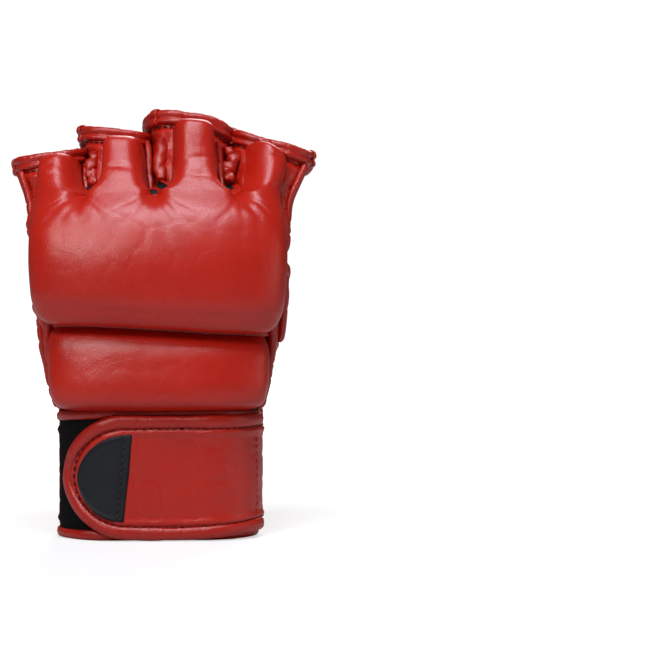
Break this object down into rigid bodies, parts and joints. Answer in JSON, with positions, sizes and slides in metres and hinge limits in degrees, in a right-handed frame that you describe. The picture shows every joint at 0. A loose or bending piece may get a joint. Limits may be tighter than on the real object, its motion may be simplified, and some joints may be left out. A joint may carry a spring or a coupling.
{
  "type": "open-palm sparring glove",
  "caption": "Padded open-palm sparring glove with separate finger sleeves, an open thumb, a folding thumb flap and a wrist cuff closed by a hook-and-loop strap.",
  "frame": {"origin": "centre of the cuff mouth, where the hand goes in", "axes": "+Z from the cuff mouth towards the fingertips, -Y out of the padded back of the hand, +X towards the thumb"},
  "size_m": [0.1408, 0.0799, 0.2059],
  "materials": {
    "red_leather": "satin, fine grain",
    "binding": "satin, rolled",
    "black_leather": "satin",
    "lining": "matt ribbed knit",
    "elastic": "matt woven",
    "foam": "matt closed cell",
    "loop_fabric": "matt loop pile",
    "hook_fabric": "matt hooks"
  },
  "bodies": {
    "glove": {"knuckle_foam": "foam", "knuckle_cover": "red_leather", "backhand_foam": "foam", "backhand_cover": "red_leather", "crease_welt": "binding", "hand_lining": "lining", "ulnar_gusset": "red_leather", "radial_gusset": "red_leather", "ulnar_piping": "binding", "radial_piping": "binding", "palm_band": "red_leather", "palm_band_top_binding": "binding", "palm_band_bottom_binding": "binding", "palm_side_strip": "red_leather", "heel_panel": "red_leather", "heel_binding": "binding", "heel_patch": "red_leather", "thumb_panel": "red_leather", "thumb_hole_binding": "binding", "cuff_lining": "lining", "cuff_elastic": "elastic", "cuff_band": "red_leather", "cuff_top_binding": "binding", "cuff_bottom_binding": "binding", "cuff_loop_panel": "loop_fabric"},
    "strap": {"strap_panel": "red_leather", "strap_backing": "black_leather", "strap_binding": "binding"},
    "strap_tip": {"strap_tip_panel": "black_leather", "strap_tip_edge": "red_leather", "strap_hook_panel": "hook_fabric", "strap_tip_binding": "binding"},
    "thumb_flap": {"thumb_flap": "red_leather", "thumb_flap_binding": "binding", "thumb_flap_lining": "lining", "thumb_pad_foam": "foam", "thumb_pad_cover": "red_leather"},
    "pinky": {"pinky_sleeve": "red_leather", "pinky_lining": "lining", "pinky_hem": "binding", "pinky_lobe_foam": "foam", "pinky_lobe_cover": "red_leather"},
    "ring": {"ring_sleeve": "red_leather", "ring_lining": "lining", "ring_hem": "binding", "ring_lobe_foam": "foam", "ring_lobe_cover": "red_leather"},
    "middle": {"middle_sleeve": "red_leather", "middle_lining": "lining", "middle_hem": "binding", "middle_lobe_foam": "foam", "middle_lobe_cover": "red_leather"},
    "index": {"index_sleeve": "red_leather", "index_lining": "lining", "index_hem": "binding", "index_lobe_foam": "foam", "index_lobe_cover": "red_leather"}
  },
  "joints": [
    {"name": "strap_open", "type": "hinge", "parent": "glove", "child": "strap", "pos_m": [0.04713, -0.01163, 0.0315], "axis": [0, 0, 1], "range_deg": [0, 100]},
    {"name": "strap_peel", "type": "hinge", "parent": "strap", "child": "strap_tip", "pos_m": [-0.0095, -0.0302, 0.0315], "axis": [0, 0, 1], "range_deg": [0, 70]},
    {"name": "thumb_flap_fold", "type": "hinge", "parent": "glove", "child": "thumb_flap", "pos_m": [-0.003, 0.0262, 0.078], "axis": [-0.9082, 0.1628, -0.3856], "range_deg": [0, 40], "stiffness_Nm_per_rad": 0.15},
    {"name": "pinky_curl", "type": "hinge", "parent": "glove", "child": "pinky", "pos_m": [0, 0.00183, 0.16662], "axis": [-1, 0, 0], "range_deg": [0, 25], "stiffness_Nm_per_rad": 0.3},
    {"name": "ring_curl", "type": "hinge", "parent": "glove", "child": "ring", "pos_m": [0, 0.00183, 0.16662], "axis": [-1, 0, 0], "range_deg": [0, 25], "stiffness_Nm_per_rad": 0.3},
    {"name": "middle_curl", "type": "hinge", "parent": "glove", "child": "middle", "pos_m": [0, 0.00183, 0.16662], "axis": [-1, 0, 0], "range_deg": [0, 25], "stiffness_Nm_per_rad": 0.3},
    {"name": "index_curl", "type": "hinge", "parent": "glove", "child": "index", "pos_m": [0, 0.00183, 0.16662], "axis": [-1, 0, 0], "range_deg": [0, 25], "stiffness_Nm_per_rad": 0.3}
  ]
}
